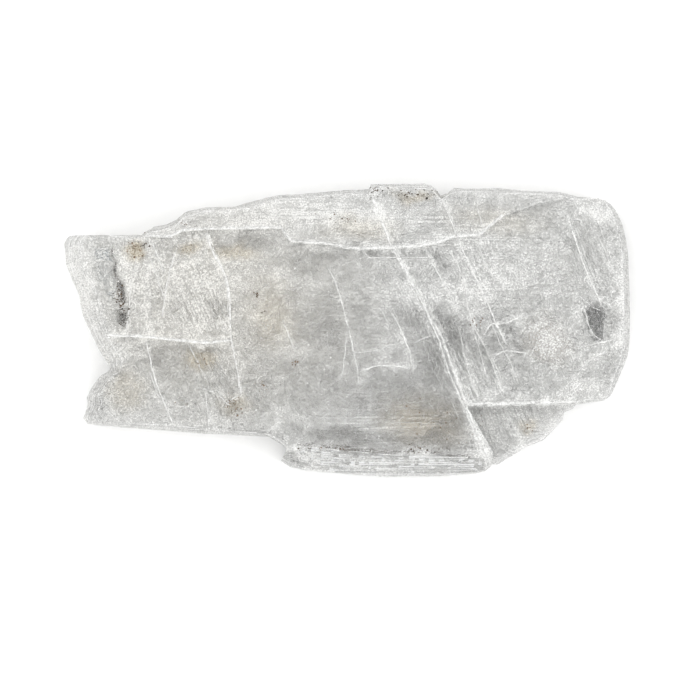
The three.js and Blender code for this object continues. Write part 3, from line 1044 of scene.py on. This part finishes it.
hairlines = {
    "width": 0.075 * mm,
    "length": (0.5 * mm, 6.0 * mm),
    "depth": (-0.02 * mm, 0.01 * mm),
    "tries": 14000,
    # zone, turn and its spread in degrees, share kept
    "families": [("combed", oblique, 2.5, 0.60), ("level", 90.0, 1.5, 0.36)],
    "loose": 3200,  # scratches in any direction
    # crazing, wandering cracks: [x, y, half length, half width, turn, count]
    "crazing": [
        [23.0, -3.0, 9.0, 8.0, -30, 150],
        [7.0, -2.0, 9.0, 8.0, 0, 70],
        [50.0, 0.0, 6.0, 10.0, 0, 90],
        [50.0, 17.0, 6.0, 8.0, 0, 40],
        [-33.0, -10.0, 14.0, 6.0, 0, 40],
        [-10.0, -6.0, 12.0, 10.0, 0, 45],
        [-12.0, 12.0, 12.0, 6.0, 0, 50],
        [24.0, 20.0, 18.0, 6.0, 0, 70],
        [-33.0, 9.0, 6.0, 8.0, 0, 40],
        [9.0, -17.0, 14.0, 6.0, 0, 60],
        [36.0, 8.0, 9.0, 9.0, 0, 60],
        [30.0, -19.0, 6.0, 4.0, 0, 20],
    ],
    "crazingCrowd": 1.6,
    "crazingStride": 0.45 * mm,
    "splinterStep": 0.55 * mm,
    "splinterReach": 0.7 * mm,
    "faintest": 0.15,
    "stepSpan": 0.1 * mm,  # a needle doesn't cross a step higher than this
    "breakScale": 700,
    "paleWhite": (0.62, 0.62, 0.605, 1),
    "brightWhite": (0.78, 0.78, 0.77, 1),
}


def hairlineMaterial():
    s = hairlines
    material, wire = newMaterial("hairline white")
    broken = speckle(wire, place(wire), s["breakScale"], 2)
    shade = mixColour(wire, broken, s["paleWhite"], s["brightWhite"])
    alpha = attribute(wire, "strength") * broken.between(0.3, 0.6, 0.4, 1.0)
    surface = wire.node(
        "ShaderNodeBsdfPrincipled", {}, {"Base Color": shade, "Roughness": 0.35, "Alpha": alpha.clipped()}
    )
    wire.node("ShaderNodeOutputMaterial", {}, {"Surface": surface})
    return material


def addNeedle(lots, x, y, turn, length, width, depth, strength):
    top = topAt(x, y)
    if top is None:
        return
    along = Vector((-math.sin(math.radians(turn)), math.cos(math.radians(turn)), 0)) * length / 2
    at = Vector((x, y, top - depth))
    for end in (at + along, at - along):
        above = topAt(end.x, end.y)
        if above is None or abs(above - top) > hairlines["stepSpan"] or bottomAt(end.x, end.y) > end.z:
            return
    lying = Matrix.Rotation(math.radians(turn), 4, "Z") @ Matrix.Rotation(math.pi / 2, 4, "X")
    bm = lots.next()
    layer = bm.verts.layers.float["strength"]
    needle = bmesh.ops.create_cone(
        bm, cap_ends=True, segments=3, radius1=width, radius2=width * 0.3, depth=length,
        matrix=Matrix.Translation(at) @ lying,
    )
    for v in needle["verts"]:
        v[layer] = strength


def addScratch(lots, x, y, turn, length):
    s = hairlines
    depth = dice.uniform(*s["depth"])
    strength = s["faintest"] + (1 - s["faintest"]) * dice.random() ** 1.4
    addNeedle(lots, x, y, turn, length, s["width"] * dice.uniform(0.5, 1.0), depth, strength)


def makeHairlines():
    s = hairlines
    low, high = cadBox
    short, long = s["length"]
    lots = Lots("strength")
    for zone, turn, spread, kept in s["families"]:
        spots = [(dice.uniform(low[0], high[0]), dice.uniform(low[1], high[1])) for i in range(s["tries"])]
        for (x, y), weight in zip(spots, spotSum(tones[zone], np.array(spots))):
            if dice.random() < weight * kept:
                lean = turn + dice.gauss(0, spread)
                addScratch(lots, x, y, lean, short + (long - short) * dice.random() ** 2.2)
    for i in range(s["loose"]):
        x, y = dice.uniform(low[0], high[0]), dice.uniform(low[1], high[1])
        addScratch(lots, x, y, dice.uniform(0, 180), short * dice.uniform(0.6, 4.0))
    for x, y, length, width, turn, count in s["crazing"]:
        for i in range(round(count * s["crazingCrowd"])):
            away = Vector((dice.gauss(0, 0.5) * length, dice.gauss(0, 0.5) * width))
            away.rotate(Matrix.Rotation(math.radians(turn), 2))
            here = (Vector((x, y)) + away) * mm
            heading = dice.uniform(0, 360)
            stride = s["crazingStride"] * dice.uniform(0.6, 1.2)
            slim = s["width"] * dice.uniform(0.45, 0.9)
            bright = dice.uniform(0.45, 1.0)
            for step in range(dice.randint(1, 5)):
                heading += dice.gauss(0, 13)
                way = Vector((-math.sin(math.radians(heading)), math.cos(math.radians(heading)))) * stride
                middle = here + way / 2
                addNeedle(lots, middle.x, middle.y, heading, stride * 1.1, slim, s["depth"][0], bright)
                here += way
    for at, way, whiteness in alongCracks(s["splinterStep"]):
        turn = math.degrees(math.atan2(-way.x, way.y)) + dice.gauss(0, 22)
        reach = s["splinterReach"] * dice.gauss(0, 0.7)
        length = short * dice.uniform(0.6, 2.4) * whiteness
        addScratch(lots, at.x + way.y * reach, at.y - way.x * reach, turn, length)
    return finishPiece(lots.close(), "hairline_needles", hairlineMaterial())


# Flecks: little white chips of cleavage that lie on the face

flecks = {
    "size": (0.05 * mm, 0.24 * mm),
    "loose": 1500,
    "crackStep": 0.8 * mm,
    "crackReach": 1.2 * mm,
    "thickness": 0.03 * mm,
}


def addFleck(lots, x, y, size):
    top = topAt(x, y)
    if top is None:
        return
    stretch = Matrix.Diagonal((dice.uniform(0.5, 1.5), dice.uniform(0.5, 1.0), 1, 1))
    turned = Matrix.Translation((x, y, top)) @ Matrix.Rotation(dice.uniform(0, 6.3), 4, "Z") @ stretch
    bm = lots.next()
    layer = bm.verts.layers.float["strength"]
    chip = bmesh.ops.create_cone(
        bm,
        cap_ends=True,
        segments=5,
        radius1=size,
        radius2=size * 0.7,
        depth=flecks["thickness"],
        matrix=turned,
    )
    strength = dice.uniform(0.3, 1.0)
    for v in chip["verts"]:
        v[layer] = strength


def makeFlecks():
    s = flecks
    low, high = cadBox
    small, large = s["size"]
    lots = Lots("strength")
    for i in range(s["loose"]):
        x, y = dice.uniform(low[0], high[0]), dice.uniform(low[1], high[1])
        addFleck(lots, x, y, small + (large - small) * dice.random() ** 3)
    for at, way, whiteness in alongCracks(s["crackStep"]):
        reach = s["crackReach"] * dice.gauss(0, 0.6)
        if dice.random() < whiteness:
            addFleck(lots, at.x + way.y * reach, at.y - way.x * reach, small * dice.uniform(0.6, 1.8))
    return finishPiece(lots.close(), "cleavage_flecks", hairlineMaterial())


# Clay: brown and black specks caught in the partings

clay = {
    "grain": (0.05 * mm, 0.20 * mm),
    # [x, y, half length, half width, turn, grains, darkness]
    "groups": [
        [-41.9, 16.1, 1.1, 1.1, 0, 40, 0.25],
        [-40.4, 16.9, 1.2, 0.5, 0, 22, 0.9],
        [-39.8, 19.9, 0.7, 0.5, 0, 8, 0.7],
        [-32.2, 16.2, 1.2, 1.2, 0, 12, 0.5],
        [-32.6, 21.6, 0.6, 0.8, 0, 10, 0.6],
        [-2.6, 22.2, 0.5, 0.8, 0, 10, 0.6],
        [0.4, 22.0, 1.8, 0.4, 0, 12, 0.6],
        [6.0, 27.4, 1.2, 1.0, 0, 26, 0.8],
        [14.0, 27.1, 3.4, 0.6, 0, 40, 0.8],
        [-17.8, 7.2, 1.4, 0.5, 0, 14, 0.6],
        [-16.8, 3.4, 0.5, 0.5, 0, 6, 0.6],
        [-10.2, -6.7, 0.7, 0.6, 0, 12, 0.3],
        [-28.9, -5.7, 0.9, 0.8, 0, 14, 0.4],
        [-32.6, -14.6, 0.8, 0.6, 0, 10, 0.4],
        [-22.6, -15.2, 1.4, 1.4, 0, 28, 0.3],
        [-16.2, -11.1, 1.2, 0.7, 0, 10, 0.3],
        [25.8, 1.8, 1.3, 1.2, 0, 14, 0.4],
        [36.6, -19.6, 1.0, 0.8, 0, 16, 0.4],
        [13.9, -23.8, 0.8, 0.8, 0, 16, 0.7],
        [18.5, -24.0, 1.6, 0.6, 0, 18, 0.7],
        [-4.0, -23.7, 5.0, 0.3, 0, 24, 0.6],
        [18.0, -18.5, 8.0, 5.0, 0, 40, 0.3],
        [-45.0, 6.6, 0.8, 1.6, 10, 90, 0.8],
        [-44.6, 2.6, 0.9, 1.6, 10, 60, 1.0],
    ],
    "crowding": 1.2,
    "strays": 800,
    "depth": (-0.01, 0.03),  # millimetres
    "grainScale": 3000,
    "rust": (0.13, 0.078, 0.042, 1),
    "paleRust": (0.25, 0.165, 0.095, 1),
    "black": (0.020, 0.015, 0.012, 1),
}


def clayMaterial():
    s = clay
    material, wire = newMaterial("clay brown")
    grain = speckle(wire, place(wire), s["grainScale"], 3)
    rust = mixColour(wire, grain, s["rust"], s["paleRust"])
    shade = mixColour(wire, attribute(wire, "darkness"), rust, s["black"])
    surface = wire.node("ShaderNodeBsdfPrincipled", {}, {"Base Color": shade, "Roughness": 0.85})
    wire.node("ShaderNodeOutputMaterial", {}, {"Surface": surface})
    return material


def addGrain(lots, x, y, depth, size, darkness):
    top = topAt(x, y)
    if top is None or bottomAt(x, y) > top - depth:
        return
    squash = Matrix.Diagonal((dice.uniform(0.6, 1.4), dice.uniform(0.6, 1.4), 0.45, 1))
    turn = Matrix.Rotation(dice.uniform(0, 6.3), 4, "Z")
    turned = Matrix.Translation((x, y, top - depth)) @ turn @ squash
    bm = lots.next()
    layer = bm.verts.layers.float["darkness"]
    for v in bmesh.ops.create_icosphere(bm, subdivisions=1, radius=size, matrix=turned)["verts"]:
        v[layer] = min(1.0, max(0.0, darkness + dice.uniform(-0.1, 0.1)))


def makeClay():
    s = clay
    low, high = cadBox
    lots = Lots("darkness")
    for x, y, length, width, turn, count, darkness in s["groups"]:
        for i in range(round(count * s["crowding"])):
            away = Vector((dice.gauss(0, 0.75) * length, dice.gauss(0, 0.75) * width, 0))
            away.rotate(Matrix.Rotation(math.radians(turn), 3, "Z"))
            size = s["grain"][0] + (s["grain"][1] - s["grain"][0]) * dice.random() ** 2
            shade = darkness + dice.uniform(-0.25, 0.25)
            depth = dice.uniform(*s["depth"]) * mm
            addGrain(lots, (x + away.x) * mm, (y + away.y) * mm, depth, size, shade)
    for i in range(s["strays"]):
        x, y = dice.uniform(low[0], high[0]), dice.uniform(low[1], high[1])
        depth = dice.uniform(*s["depth"]) * mm
        addGrain(lots, x, y, depth, s["grain"][0] * dice.uniform(0.5, 1.3), 0.5)
    return finishPiece(lots.close(), "clay_specks", clayMaterial())


setUpStudio()
nearCracks = crackTree()
surface = makeShell()
bladeTree = treeOf(surface)
nearWalls = wallTree(surface)
for name, (depth, cover, lightness) in veil["sheets"].items():
    makeVeil(name, depth, veilMaterial(name.replace("_", " "), cover, lightness))
makePockets()
makeCracks()
makeHairlines()
makeFlecks()
makeClay()
